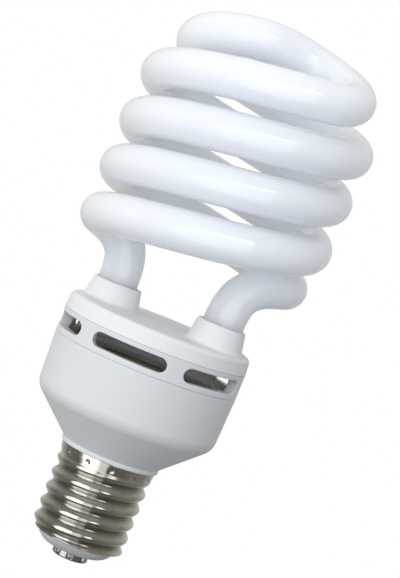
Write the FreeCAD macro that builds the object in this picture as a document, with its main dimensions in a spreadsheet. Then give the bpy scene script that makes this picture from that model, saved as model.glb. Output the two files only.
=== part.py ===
import FreeCAD, Part
import Sketcher
import math
import os

# Compact fluorescent lamp: a double spiral of glass tube on a three-shell
# moulded housing with a 40 mm screw cap. Millimetres. The origin is the middle
# of the end contact's flat face, and +Z runs along the lamp's axis to the glass.

V = FreeCAD.Vector
doc = FreeCAD.newDocument("spiral_lamp")
sheet = doc.addObject("Spreadsheet::Sheet", "Dims")

DIMS = [
    # end contact
    ("contact_rad", 7.5), ("contact_high", 2.9), ("contact_edge", 0.7),
    ("rivet_rad", 3.0), ("rivet_top", 9.0),
    ("notch_wide", 2.4), ("notch_low", 0.8), ("notch_high", 2.4), ("notch_floor", 6.1),
    ("notch_count", 8),
    # insulator of the cap
    ("insul_tip_rad", 8.1), ("insul_mid_rad", 13.1), ("insul_mid", 4.3), ("insul_rad", 16.1), ("insul_edge", 7.76), ("insul_top", 14.0),
    # screw shell, 40 mm cap: pitch 6.35, four turns to the inch
    ("shell_root", 17.65), ("shell_crest", 19.45), ("shell_wall", 0.6), ("shell_pitch", 6.35),
    ("shell_low", 7.76), ("thread_start", 10.0), ("thread_rise", 22.2), ("thread_wide", 5.4),
    ("skirt_low", 39.6), ("skirt_foot_rad", 18.9), ("skirt_rad", 20.0), ("skirt_top", 44.1),
    # lower housing
    ("spigot_rad", 18.35), ("spigot_bore", 17.0), ("spigot_low", 40.6),
    ("lip_rad", 20.7), ("lip_top", 45.1), ("neck_rad", 20.2), ("neck_z", 45.7),
    ("shoulder_rad", 37.65), ("shoulder_z", 61.8), ("shoulder_fillet", 8.0),
    ("seam_rad", 38.5), ("seam_low", 84.2), ("seam_high", 94.4), ("seam_vee", 0.25),
    ("ledge_rad", 33.0), ("board_low", 79.0), ("board_thick", 1.6), ("board_rad", 35.4),
    # vent ring
    ("ring_bore", 34.0), ("ring_top_rad", 38.6), ("ring_spigot", 2.6),
    ("slot_long", 31.2), ("slot_high", 5.9), ("slot_lift", 0.25), ("slot_count", 3), ("slot_pitch", 59.2),
    ("slot_turn", -71.2),
    # tube cover
    ("cover_top", 101.2), ("cover_wall", 2.2), ("cover_edge_rad", 38.0), ("cover_fillet", 2.4),
    ("cover_spigot", 1.5), ("cover_spigot_rad", 33.95), ("cover_spigot_bore", 33.2), ("cover_bore", 35.2),
    ("collar_top_rad", 10.0), ("collar_base_rad", 12.0), ("collar_right_high", 9.2), ("collar_left_high", 8.2),
    ("collar_right_x", 22.2), ("collar_left_x", -22.45), ("collar_sunk", 1.7), ("collar_bore", 8.75),
    # glass tube
    ("tube_rad", 8.4), ("coil_rad", 41.5), ("coil_lead", 40.5), ("coil_z", 131.4),
    ("coil_end", 668.5), ("coil_rise", 14.15), ("coil_lean", 1.49), ("coil_aside", -1.12), ("tube_low", 97.2),
    ("leg_right_x", 22.65), ("leg_left_x", -22.95), ("leg_y", 8.5), ("leg_right_z", 113.4), ("leg_left_z", 113.6),
    ("bend_right_out", 21.9), ("bend_right_in", 19.5), ("bend_right_turn", 24.6),
    ("bend_left_out", 19.0), ("bend_left_in", 17.6), ("bend_left_turn", 17.4),
    # cement under the cover
    ("cement_rad", 9.15),
    # smoothing capacitor
    ("can_rad", 9.0), ("can_long", 30.0), ("can_x", 4.0), ("can_y", -2.0), ("can_bead", 0.8),
    # choke
    ("choke_x", -20.5), ("choke_y", 2.0), ("choke_wide", 24.0), ("choke_thick", 7.0),
    ("choke_half", 9.0), ("choke_back", 3.0), ("choke_leg", 3.2), ("choke_mid", 6.4),
    ("bobbin_wall", 0.8), ("bobbin_gap", 0.15), ("bobbin_out_x", 8.0), ("bobbin_out_y", 8.2),
    ("wind_out_x", 7.4), ("wind_out_y", 7.7),
    # drive transformer ring
    ("drive_x", 20.0), ("drive_y", 15.0), ("drive_out", 5.0), ("drive_in", 2.7), ("drive_high", 4.2),
    ("drive_wire", 0.6), ("drive_main", 120.0), ("drive_base", 60.0),
    # line filter drum
    ("drum_x", 16.0), ("drum_y", -21.0), ("drum_rad", 5.0), ("drum_mid", 2.4), ("drum_high", 12.0),
    ("drum_flange", 1.8), ("drum_wound", 4.6),
    # transistors
    ("trans_wide", 10.0), ("trans_thick", 4.4), ("trans_high", 9.0), ("trans_tab", 1.3),
    ("trans_tab_high", 6.4), ("trans_hole", 1.8), ("trans_lead", 3.0), ("trans_pin", 0.8),
    ("trans_left_x", -12.0), ("trans_left_y", -20.0), ("trans_right_x", 2.0), ("trans_right_y", -24.0),
    # axial parts
    ("diode_rad", 1.35), ("diode_long", 5.2), ("lead_rad", 0.4), ("lead_long", 11.0),
    ("resist_rad", 1.7), ("resist_long", 9.0), ("resist_lead", 15.0),
    # film capacitors
    ("film_big_x", 18.0), ("film_big_y", 6.0), ("film_big_z", 12.0),
    ("film_mid_x", 13.0), ("film_mid_y", 5.0), ("film_mid_z", 11.0), ("film_round", 1.0),
    ("ptc_rad", 4.0), ("ptc_thick", 3.4), ("ptc_round", 0.6),
    # pins and wires
    ("post_side", 1.0), ("post_right_high", 3.0), ("post_left_high", 8.6),
    ("post_1_x", 28.4), ("post_1_y", -10.8), ("post_2_x", 31.0), ("post_2_y", -6.2),
    ("post_3_x", -31.2), ("post_3_y", 4.2), ("post_4_x", -30.2), ("post_4_y", 8.2),
    ("electrode_rad", 0.45), ("electrode_gap", 3.4),
    ("wire_rad", 0.9),
]
D = dict(DIMS)
for row, (alias, number) in enumerate(DIMS, start=1):
    sheet.set("A%d" % row, alias)
    sheet.set("B%d" % row, repr(number))
    sheet.setAlias("B%d" % row, alias)
doc.recompute()


class Link(object):
    """A number of the sheet, with the expression that gives it."""

    def __init__(self, v, text):
        self.v = v
        self.text = text

    def __add__(self, o):
        o = link(o)
        return Link(self.v + o.v, "(%s + %s)" % (self.text, o.text))

    def __sub__(self, o):
        o = link(o)
        return Link(self.v - o.v, "(%s - %s)" % (self.text, o.text))

    def __mul__(self, o):
        o = link(o)
        return Link(self.v * o.v, "(%s * %s)" % (self.text, o.text))

    def __truediv__(self, o):
        o = link(o)
        return Link(self.v / o.v, "(%s / %s)" % (self.text, o.text))

    def __neg__(self):
        return Link(-self.v, "(0 - %s)" % self.text)


def link(x):
    return x if isinstance(x, Link) else Link(float(x), repr(float(x)))


def dim(alias):
    return Link(D[alias], "Dims." + alias)


def bind(obj, prop, number):
    obj.setExpression(prop, link(number).text)


def place(obj, x, y, z):
    for axis, number in (("x", x), ("y", y), ("z", z)):
        bind(obj, ".Placement.Base." + axis, number)
    return obj


# ---------------------------------------------------------------- bodies

def new_body(label):
    body = doc.addObject("PartDesign::Body", label)
    body.Label = label
    return body


def origin_part(body, role):
    return [o for o in body.Origin.OriginFeatures if o.Role == role][0]


def new_sketch(body, name, role, lift=None):
    sk = body.newObject("Sketcher::SketchObject", name)
    sk.AttachmentSupport = [(origin_part(body, role), "")]
    sk.MapMode = "FlatFace"
    if lift is not None:
        sk.AttachmentOffset = FreeCAD.Placement(V(0, 0, link(lift).v), FreeCAD.Rotation())
        bind(sk, ".AttachmentOffset.Base.z", lift)
    return sk


def pin(sk, geo, pos, axis, number):
    number = link(number)
    if abs(number.v) < 1e-9:
        sk.addConstraint(Sketcher.Constraint("PointOnObject", geo, pos, -2 if axis == "X" else -1))
        return
    if number.v > 0:
        i = sk.addConstraint(Sketcher.Constraint("Distance" + axis, -1, 1, geo, pos, number.v))
        sk.setExpression("Constraints[%d]" % i, number.text)
    else:
        i = sk.addConstraint(Sketcher.Constraint("Distance" + axis, geo, pos, -1, 1, -number.v))
        sk.setExpression("Constraints[%d]" % i, (-number).text)


def polygon(sk, pts):
    pts = [(link(a), link(b)) for a, b in pts]
    n = len(pts)
    for i in range(n):
        a, b = pts[i], pts[(i + 1) % n]
        sk.addGeometry(Part.LineSegment(V(a[0].v, a[1].v, 0), V(b[0].v, b[1].v, 0)))
    for i in range(n):
        sk.addConstraint(Sketcher.Constraint("Coincident", i, 2, (i + 1) % n, 1))
    for i in range(n):
        pin(sk, i, 1, "X", pts[i][0])
        pin(sk, i, 1, "Y", pts[i][1])
    return sk


def circle(sk, x, y, rad):
    x, y, rad = link(x), link(y), link(rad)
    g = sk.addGeometry(Part.Circle(V(x.v, y.v, 0), V(0, 0, 1), rad.v))
    i = sk.addConstraint(Sketcher.Constraint("Radius", g, rad.v))
    sk.setExpression("Constraints[%d]" % i, rad.text)
    pin(sk, g, 3, "X", x)
    pin(sk, g, 3, "Y", y)
    return g


def turned(label, pts):
    """A body turned about Z from a closed profile of (radius, height) points."""
    body = new_body(label)
    sk = polygon(new_sketch(body, label + "_profile", "XZ_Plane"), pts)
    rv = body.newObject("PartDesign::Revolution", label + "_turned")
    rv.Profile = sk
    rv.ReferenceAxis = (sk, ["V_Axis"])
    rv.Angle = 360
    doc.recompute()
    return body, rv


def ring_edges(shape, rad, z, tol=0.02):
    names = []
    for i, e in enumerate(shape.Edges, start=1):
        c = e.Curve
        if isinstance(c, Part.Circle) and abs(c.Radius - rad) < tol and abs(c.Center.z - z) < tol:
            names.append("Edge%d" % i)
    return names


def rounded(body, base, name, edges, rad):
    if not edges:
        raise RuntimeError("no edge to round: " + name)
    f = body.newObject("PartDesign::Fillet", name)
    f.Base = (base, edges)
    f.Radius = link(rad).v
    bind(f, "Radius", rad)
    doc.recompute()
    return f


def less_than(before, after, what):
    if not after < before - 0.5:
        raise RuntimeError("nothing was cut: " + what)


NODES = []


def node(obj, label):
    obj.Label = label
    NODES.append((label, obj))
    return obj


# ---------------------------------------------------------------- cap

z_con = dim("contact_high")
body, rv = turned("center_contact", [
    (0, 0), (dim("contact_rad") - dim("contact_edge"), 0), (dim("contact_rad"), dim("contact_edge")),
    (dim("contact_rad"), z_con), (dim("rivet_rad"), z_con), (dim("rivet_rad"), dim("rivet_top")),
    (0, dim("rivet_top"))])
before = rv.Shape.Volume
sk = new_sketch(body, "notch", "XZ_Plane", dim("notch_floor"))
half = dim("notch_wide") / 2
polygon(sk, [(-half, dim("notch_low")), (half, dim("notch_low")),
             (half, dim("notch_high")), (-half, dim("notch_high"))])
pk = body.newObject("PartDesign::Pocket", "notch_cut")
pk.Profile = sk
pk.Length = 4
pk.Reversed = True
doc.recompute()
less_than(before, pk.Shape.Volume, "contact notch")
pp = body.newObject("PartDesign::PolarPattern", "notches")
pp.Originals = [pk]
pp.Axis = (origin_part(body, "Z_Axis"), [""])
pp.Angle = 360
pp.Occurrences = int(D["notch_count"])
bind(pp, "Occurrences", dim("notch_count"))
body.Tip = pp
doc.recompute()
node(body, "center_contact")

body, rv = turned("cap_insulator", [
    (dim("rivet_rad"), z_con), (dim("insul_tip_rad"), z_con), (dim("insul_mid_rad"), dim("insul_mid")),
    (dim("insul_rad"), dim("insul_edge")),
    (dim("insul_rad"), dim("insul_edge") + 3.0), (dim("insul_rad") - 5.0, dim("insul_top")),
    (dim("rivet_rad"), dim("insul_top"))])
node(body, "cap_insulator")

root, wall = dim("shell_root"), dim("shell_wall")
low = dim("shell_low")
body, rv = turned("screw_shell", [
    (dim("insul_rad"), low), (root - 0.8, low + 0.15), (root, low + 1.2), (root, dim("skirt_low") - 1.4),
    (dim("skirt_foot_rad"), dim("skirt_low")), (dim("skirt_rad"), dim("skirt_top")),
    (dim("skirt_rad") - wall, dim("skirt_top")), (dim("skirt_foot_rad") - wall, dim("skirt_low") + 0.35),
    (root - wall, dim("skirt_low") - 1.05), (root - wall, low + 1.45), (root - wall - 0.45, low + 0.75),
    (dim("insul_rad"), low + 0.6)])


def helix_sketch(name, base, crest, start, wide):
    """A crest of the rolled thread: an arc over its base line."""
    sk = new_sketch(body, name, "XZ_Plane")
    base, crest, start, wide = link(base), link(crest), link(start), link(wide)
    sk.addGeometry(Part.LineSegment(V(base.v, start.v + wide.v, 0), V(base.v, start.v, 0)))
    sk.addGeometry(Part.Arc(V(base.v, start.v, 0), V(crest.v, start.v + wide.v / 2, 0),
                            V(base.v, start.v + wide.v, 0)))
    # ends of the arc lie on the ends of the base line
    arc = sk.Geometry[1]
    first = 1 if abs(arc.StartPoint.y - start.v) < 1e-6 else 2
    sk.addConstraint(Sketcher.Constraint("Coincident", 0, 2, 1, first))
    sk.addConstraint(Sketcher.Constraint("Coincident", 1, 3 - first, 0, 1))
    pin(sk, 0, 2, "X", base)
    pin(sk, 0, 2, "Y", start)
    pin(sk, 0, 1, "X", base)
    pin(sk, 0, 1, "Y", start + wide)
    rise = crest - base
    rad = (wide * wide / 4 + rise * rise) / (rise * 2)
    i = sk.addConstraint(Sketcher.Constraint("Radius", 1, rad.v))
    sk.setExpression("Constraints[%d]" % i, rad.text)
    return sk


def helix(kind, name, sk):
    hx = body.newObject(kind, name)
    hx.Profile = sk
    hx.ReferenceAxis = (sk, ["V_Axis"])
    hx.Mode = 0
    hx.Pitch = D["shell_pitch"]
    hx.Height = D["thread_rise"]
    bind(hx, "Pitch", dim("shell_pitch"))
    bind(hx, "Height", dim("thread_rise"))
    hx.LeftHanded = False
    hx.Reversed = False
    doc.recompute()
    return hx


v_tube = rv.Shape.Volume
out = helix("PartDesign::AdditiveHelix", "thread_crest",
            helix_sketch("crest", root - 0.1, dim("shell_crest"), dim("thread_start"), dim("thread_wide")))
v_out = out.Shape.Volume
inn = helix("PartDesign::SubtractiveHelix", "thread_back",
            helix_sketch("crest_back", root - wall - 0.1, dim("shell_crest") - wall,
                         dim("thread_start") + 0.75, dim("thread_wide") - 1.5))
less_than(v_out, inn.Shape.Volume, "back of the thread")
print("thread volumes", round(v_tube), round(v_out), round(inn.Shape.Volume))
body.Tip = inn
# the thread is turned so that its crests stand at the right heights
body.Placement = FreeCAD.Placement(V(0, 0, 0), FreeCAD.Rotation(V(0, 0, 1), 244))
doc.recompute()
node(body, "screw_shell")

# ---------------------------------------------------------------- housing

s1, s2, vee = dim("seam_low"), dim("seam_high"), dim("seam_vee")
body, rv = turned("lower_housing", [
    (dim("spigot_bore"), dim("spigot_low")), (dim("spigot_rad"), dim("spigot_low")),
    (dim("spigot_rad"), dim("skirt_top")), (dim("lip_rad") - 0.3, dim("skirt_top")),
    (dim("lip_rad"), dim("skirt_top") + 0.35), (dim("lip_rad"), dim("lip_top")),
    (dim("neck_rad"), dim("neck_z")), (dim("shoulder_rad"), dim("shoulder_z")),
    (dim("seam_rad"), s1 - vee), (dim("seam_rad") - vee, s1), (dim("board_rad") + 0.9, s1),
    (dim("board_rad") + 0.7, dim("board_low")), (dim("ledge_rad"), dim("board_low")),
    (dim("ledge_rad"), dim("board_low") - 1.4), (dim("shoulder_rad") - 2.1, dim("board_low") - 4.6),
    (dim("shoulder_rad") - 2.4, dim("shoulder_z") + 2.4), (dim("shoulder_rad") - 4.2, dim("shoulder_z") - 0.6),
    (dim("spigot_bore"), dim("neck_z") + 0.5)])
rounded(body, rv, "shoulder", ring_edges(rv.Shape, D["shoulder_rad"], D["shoulder_z"]), dim("shoulder_fillet"))
node(body, "lower_housing")

body, rv = turned("vent_ring", [
    (dim("seam_rad") - vee, s1), (dim("seam_rad"), s1 + vee), (dim("ring_top_rad"), s2 - vee),
    (dim("ring_top_rad") - vee, s2), (dim("ring_bore"), s2), (dim("ring_bore"), s1 + 0.6),
    (dim("ring_bore") - 0.6, s1), (dim("ring_bore") - 0.6, s1 - dim("ring_spigot")),
    (dim("board_rad") + 0.8, s1 - dim("ring_spigot")), (dim("board_rad") + 0.85, s1)])
before = rv.Shape.Volume
sk = new_sketch(body, "slot", "XZ_Plane")
zc = (s1 + s2) / 2 + dim("slot_lift")
hh = dim("slot_high") / 2
hl = (dim("slot_long") - dim("slot_high")) / 2
sk.addGeometry(Part.LineSegment(V(-hl.v, zc.v - hh.v, 0), V(hl.v, zc.v - hh.v, 0)))
sk.addGeometry(Part.Arc(V(hl.v, zc.v - hh.v, 0), V(hl.v + hh.v, zc.v, 0), V(hl.v, zc.v + hh.v, 0)))
sk.addGeometry(Part.LineSegment(V(hl.v, zc.v + hh.v, 0), V(-hl.v, zc.v + hh.v, 0)))
sk.addGeometry(Part.Arc(V(-hl.v, zc.v + hh.v, 0), V(-hl.v - hh.v, zc.v, 0), V(-hl.v, zc.v - hh.v, 0)))


def end_at(geo, x, y):
    g = sk.Geometry[geo]
    return 1 if (g.StartPoint - V(x, y, 0)).Length < 1e-6 else 2


corner = [(hl.v, zc.v - hh.v), (hl.v, zc.v + hh.v), (-hl.v, zc.v + hh.v), (-hl.v, zc.v - hh.v)]
for i in range(4):
    j = (i + 1) % 4
    sk.addConstraint(Sketcher.Constraint("Coincident", i, end_at(i, *corner[i]), j, end_at(j, *corner[i])))
pin(sk, 0, 1, "X", -hl)
pin(sk, 0, 1, "Y", zc - hh)
pin(sk, 0, 2, "X", hl)
pin(sk, 0, 2, "Y", zc - hh)
pin(sk, 2, 1, "X", hl)
pin(sk, 2, 1, "Y", zc + hh)
pin(sk, 2, 2, "X", -hl)
pin(sk, 2, 2, "Y", zc + hh)
pin(sk, 1, 3, "X", hl)
pin(sk, 3, 3, "X", -hl)
# three slots to each half of the ring, the halves a wider bridge apart
for half_name, away in (("front", True), ("back", False)):
    before = body.Shape.Volume
    pk = body.newObject("PartDesign::Pocket", "slot_cut_" + half_name)
    pk.Profile = sk
    pk.Length = 60
    pk.Reversed = away
    doc.recompute()
    less_than(before, pk.Shape.Volume, "vent slot")
    pp = body.newObject("PartDesign::PolarPattern", "slots_" + half_name)
    pp.Originals = [pk]
    pp.Axis = (origin_part(body, "Z_Axis"), [""])
    pp.Angle = D["slot_pitch"] * (D["slot_count"] - 1)
    bind(pp, "Angle", dim("slot_pitch") * (dim("slot_count") - 1))
    pp.Occurrences = int(D["slot_count"])
    bind(pp, "Occurrences", dim("slot_count"))
    body.Tip = pp
    doc.recompute()
    less_than(pk.Shape.Volume, pp.Shape.Volume, "vent slots")
body.Placement = FreeCAD.Placement(V(0, 0, 0), FreeCAD.Rotation(V(0, 0, 1), D["slot_turn"]))
bind(body, ".Placement.Rotation.Angle", dim("slot_turn"))
doc.recompute()
node(body, "vent_ring")

top, cw = dim("cover_top"), dim("cover_wall")
body, rv = turned("upper_cover", [
    (dim("ring_top_rad") - vee, s2), (dim("ring_top_rad"), s2 + vee), (dim("cover_edge_rad"), top),
    (0, top), (0, top - cw), (dim("cover_bore"), top - cw), (dim("cover_bore"), s2 + 0.6), (dim("cover_spigot_bore"), s2),
    (dim("cover_spigot_bore"), s2 - dim("cover_spigot")), (dim("cover_spigot_rad"), s2 - dim("cover_spigot")),
    (dim("cover_spigot_rad"), s2)])
last = rounded(body, rv, "cover_shoulder", ring_edges(rv.Shape, D["cover_edge_rad"], D["cover_top"]),
               dim("cover_fillet"))
LEGS = [("right", dim("leg_right_x"), -dim("leg_y")), ("left", dim("leg_left_x"), dim("leg_y"))]
for side, x, y in LEGS:
    # the legs stand a little outside the middle of their collars
    cx = dim("collar_%s_x" % side)
    foot = new_sketch(body, "collar_foot_" + side, "XY_Plane", top - dim("collar_sunk"))
    circle(foot, cx, y, dim("collar_base_rad"))
    mouth = new_sketch(body, "collar_mouth_" + side, "XY_Plane", top + dim("collar_%s_high" % side))
    circle(mouth, cx, y, dim("collar_top_rad"))
    lf = body.newObject("PartDesign::AdditiveLoft", "collar_" + side)
    lf.Profile = foot
    lf.Sections = [mouth]
    lf.Ruled = True
    lf.Refine = False
    doc.recompute()
bores = new_sketch(body, "collar_bores", "XY_Plane")
for side, x, y in LEGS:
    circle(bores, x, y, dim("collar_bore"))
before = body.Shape.Volume
pk = body.newObject("PartDesign::Pocket", "collar_bore_cut")
pk.Profile = bores
pk.Length = 200
pk.Reversed = True
doc.recompute()
less_than(before, pk.Shape.Volume, "collar bores")
node(body, "upper_cover")


# ---------------------------------------------------------------- glass tube

def leaned(p):
    """The coil stands a little out of line with the housing."""
    g = math.radians(D["coil_lean"])
    x = p.x + D["coil_aside"]
    return V(x * math.cos(g) + p.z * math.sin(g), p.y, p.z * math.cos(g) - x * math.sin(g))


# the turns are not quite even: degrees round the coil, outwards by, upwards by
UNEVEN = {1: [(0, 0, 0), (180, 0, 0.45), (270, 0, 0.35), (360, 0.1, 0.3), (450, 0, 0.3), (540, -0.5, 0.4),
              (630, -0.2, 0.45), (668.5, 0, 0.3)],
          -1: [(0, 0.2, 0), (90, 0, -0.1), (180, 0, 0), (360, -0.25, 0.2), (540, 0.05, 0.15), (668.5, 0, 0.1)]}


def uneven(sign, t):
    """Outward and upward offset of a turn, eased between the listed places."""
    g, rows = math.degrees(t), UNEVEN[sign]
    for (g0, r0, z0), (g1, r1, z1) in zip(rows[:-1], rows[1:]):
        if g <= g1:
            w = max(0.0, (g - g0) / (g1 - g0))
            w = w * w * (3 - 2 * w)
            return r0 + (r1 - r0) * w, z0 + (z1 - z0) * w
    return rows[-1][1:]


def coil_side(sign, z, out, into, turn):
    """Points up one side: leg, bend, coil, and the half of the bridge on top."""
    a, b = math.radians(turn), math.radians(D["coil_end"])
    rad, lead = D["coil_rad"], D["coil_lead"]

    def on_coil(t, r, h, ease=1.0):
        dr, dz = uneven(sign, t)
        r, h = r + dr * ease, h + dz * ease
        return leaned(V(sign * r * math.cos(t), sign * r * math.sin(t), h))

    joint = on_coil(a, rad, D["coil_z"] + lead * a / 2 / math.pi)
    way = leaned(V(-sign * rad * math.sin(a), sign * rad * math.cos(a), lead / 2 / math.pi)) - leaned(V(0, 0, 0))
    foot = V(D["leg_right_x"] if sign > 0 else D["leg_left_x"], -sign * D["leg_y"], z)
    one, two = foot + V(0, 0, out), joint - way * (into / way.Length)
    pts = [foot - V(0, 0, 7), foot]
    for u in (0.17, 0.34, 0.5, 0.67, 0.84):
        v = 1 - u
        pts.append(foot * v ** 3 + one * (3 * u * v * v) + two * (3 * u * u * v) + joint * u ** 3)
    n = int(math.ceil((b - a) / math.radians(22)))
    for i in range(n + 1):
        t = a + (b - a) * i / n
        pts.append(on_coil(t, rad, D["coil_z"] + lead * t / 2 / math.pi))
    z2 = D["coil_z"] + lead * b / 2 / math.pi
    slope, run = lead / (2 * math.pi * rad), math.pi * rad / 2
    for w in (0.2, 0.4, 0.6, 0.8):
        rise = w * w * (3 - 2 * w) * D["coil_rise"] + (w ** 3 - 2 * w * w + w) * slope * run
        pts.append(on_coil(b + math.pi / 2 * w, rad * math.cos(math.pi / 2 * w), z2 + rise, 1 - w))
    return pts, leaned(V(0, 0, z2 + D["coil_rise"]))


right, crown = coil_side(1, D["leg_right_z"], D["bend_right_out"], D["bend_right_in"], D["bend_right_turn"])
left, crown = coil_side(-1, D["leg_left_z"], D["bend_left_out"], D["bend_left_in"], D["bend_left_turn"])
POINTS = right + [crown] + left[::-1]


def smooth_curve(pts):
    """A natural cubic spline through the points; gives place and direction."""
    n = len(pts)
    u = [0.0]
    for i in range(1, n):
        u.append(u[-1] + math.sqrt((pts[i] - pts[i - 1]).Length))
    step = [u[i + 1] - u[i] for i in range(n - 1)]
    second = []
    for axis in range(3):
        y = [p[axis] for p in pts]
        sub, dia, sup, rhs = [0.0] * n, [1.0] * n, [0.0] * n, [0.0] * n
        for i in range(1, n - 1):
            sub[i] = step[i - 1]
            dia[i] = 2 * (step[i - 1] + step[i])
            sup[i] = step[i]
            rhs[i] = 6 * ((y[i + 1] - y[i]) / step[i] - (y[i] - y[i - 1]) / step[i - 1])
        for i in range(1, n):
            f = sub[i] / dia[i - 1]
            dia[i] -= f * sup[i - 1]
            rhs[i] -= f * rhs[i - 1]
        mm = [0.0] * n
        mm[-1] = rhs[-1] / dia[-1]
        for i in range(n - 2, -1, -1):
            mm[i] = (rhs[i] - sup[i] * mm[i + 1]) / dia[i]
        second.append(mm)

    def at(t):
        i = max(0, min(n - 2, next((k for k in range(n - 1) if t <= u[k + 1]), n - 2)))
        h = step[i]
        a, b = (u[i + 1] - t) / h, (t - u[i]) / h
        p, d = [], []
        for axis in range(3):
            y0, y1 = pts[i][axis], pts[i + 1][axis]
            m0, m1 = second[axis][i], second[axis][i + 1]
            p.append(a * y0 + b * y1 + ((a ** 3 - a) * m0 + (b ** 3 - b) * m1) * h * h / 6)
            d.append((y1 - y0) / h + ((1 - 3 * a * a) * m0 + (3 * b * b - 1) * m1) * h / 6)
        d = V(*d)
        return V(*p), d / d.Length
    return at, u[-1]


curve, end = smooth_curve(POINTS)
fine = [curve(end * i / 4000.0) for i in range(4001)]
knots, turned_by = [0], 0.0
for i in range(1, 4001):
    turned_by += fine[i - 1][1].getAngle(fine[i][1])
    if turned_by > math.radians(28):
        knots.append(i)
        turned_by = 0.0
if 4000 - knots[-1] < 20:
    knots.pop()
knots.append(4000)
stops = [list(fine[k]) for k in knots]
up = V(0, 0, 1)
stops[0][1] = up
stops[-1][1] = -up


def arc_from(p, d, q):
    """The arc that leaves p along d and ends at q: edge, end direction, radius."""
    chord = q - p
    n = d.cross(chord)
    if n.Length < 1e-7 * chord.Length:
        return Part.LineSegment(p, q).toShape(), d, 1e9
    n = n / n.Length
    side = n.cross(d)
    rad = chord.dot(chord) / (2 * chord.dot(side))
    c = p + side * rad
    m = (p + q) * 0.5 - c
    m = c + m * (rad / m.Length)
    e = n.cross(q - c)
    return Part.Arc(p, m, q).toShape(), e / e.Length, rad


x, y = D["leg_right_x"], -D["leg_y"]
edges = [Part.LineSegment(V(x, y, D["tube_low"]), stops[0][0]).toShape()]
radii = []
for (p, d), (q, e) in zip(stops[:-1], stops[1:]):
    chord, both = q - p, d + e
    a, b, c = 2 * (1 - d.dot(e)), 2 * chord.dot(both), -chord.dot(chord)
    reach = -c / b if abs(a) < 1e-9 else (-b + math.sqrt(b * b - 4 * a * c)) / (2 * a)
    mid = (p + q) * 0.5 + (d - e) * (reach / 2)
    one, way, r1 = arc_from(p, d, mid)
    two, way, r2 = arc_from(mid, way, q)
    edges += [one, two]
    radii += [r1, r2]
x, y = D["leg_left_x"], D["leg_y"]
edges.append(Part.LineSegment(stops[-1][0], V(x, y, D["tube_low"])).toShape())
path = doc.addObject("Part::Feature", "tube_path")
path.Shape = Part.Wire(edges)
print("tube path", len(edges), "edges, tightest bend", round(min(radii), 1), "length", round(path.Shape.Length, 1))

ring = doc.addObject("Part::Circle", "tube_section")
bind(ring, "Radius", dim("tube_rad"))
place(ring, dim("leg_right_x"), -dim("leg_y"), dim("tube_low"))
tube = doc.addObject("Part::Sweep", "spiral_tube")
tube.Sections = [ring]
tube.Spine = (path, ["Edge%d" % (i + 1) for i in range(len(edges))])
tube.Solid = True
tube.Frenet = False
doc.recompute()
expected = path.Shape.Length * math.pi * D["tube_rad"] ** 2
print("tube volume", round(tube.Shape.Volume), "section times length", round(expected))
if abs(tube.Shape.Volume / expected - 1) > 0.01:
    raise RuntimeError("the tube's volume is wrong")
node(tube, "spiral_tube")

# cement that bonds each leg under the cover
for side, x, y in LEGS:
    solid = place(doc.addObject("Part::Cylinder", "cement_" + side), x, y, dim("tube_low") + 0.2)
    bind(solid, "Radius", dim("cement_rad"))
    bind(solid, "Height", top - cw - dim("tube_low") - 0.2)
    bore = place(doc.addObject("Part::Cylinder", "cement_bore_" + side), x, y, dim("tube_low") - 1.0)
    bind(bore, "Radius", dim("tube_rad"))
    bind(bore, "Height", 6.0)
    cut = doc.addObject("Part::Cut", "tube_cement_" + side)
    cut.Base, cut.Tool = solid, bore
    node(cut, "tube_cement_" + side)

# ---------------------------------------------------------------- ballast

b_low = dim("board_low")
b_top = dim("board_low") + dim("board_thick")
body = new_body("circuit_board")
sk = new_sketch(body, "board_outline", "XY_Plane", b_low)
circle(sk, 0, 0, dim("board_rad"))
pad = body.newObject("PartDesign::Pad", "board")
pad.Profile = sk
pad.Length = D["board_thick"]
bind(pad, "Length", dim("board_thick"))
doc.recompute()
node(body, "circuit_board")


def box(name, sx, sy, sz, x, y, z):
    """A block with its middle at x, y and its foot at z."""
    o = doc.addObject("Part::Box", name)
    sx, sy, sz = link(sx), link(sy), link(sz)
    bind(o, "Length", sx)
    bind(o, "Width", sy)
    bind(o, "Height", sz)
    place(o, link(x) - sx / 2, link(y) - sy / 2, z)
    return o


def rod(name, rad, high, x, y, z, angle=None):
    o = place(doc.addObject("Part::Cylinder", name), x, y, z)
    bind(o, "Radius", rad)
    bind(o, "Height", high)
    if angle is not None:
        bind(o, "Angle", angle)
    return o


def cut(name, base, tool):
    o = doc.addObject("Part::Cut", name)
    o.Base, o.Tool = base, tool
    return o


def fuse(name, base, tool):
    o = doc.addObject("Part::Fuse", name)
    o.Base, o.Tool = base, tool
    return o


def soften(name, base, rad):
    doc.recompute()
    o = doc.addObject("Part::Fillet", name)
    o.Base = base
    o.Edges = [(i + 1, D[rad], D[rad]) for i in range(len(base.Shape.Edges))]
    return o


# smoothing capacitor: a sealed can with a rolled bead near its foot
cx, cy = dim("can_x"), dim("can_y")
rr, ll, bead = dim("can_rad"), dim("can_long"), dim("can_bead")
body, rv = turned("smoothing_capacitor", [
    (0, b_low - ll), (rr - 0.8, b_low - ll), (rr, b_low - ll + 0.8), (rr, b_low - 4.6), (rr - bead, b_low - 4.0),
    (rr - bead, b_low - 3.4), (rr, b_low - 2.8), (rr, b_low - 0.5), (rr - 0.5, b_low), (0, b_low)])
place(body, cx, cy, 0)
node(body, "smoothing_capacitor")

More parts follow.
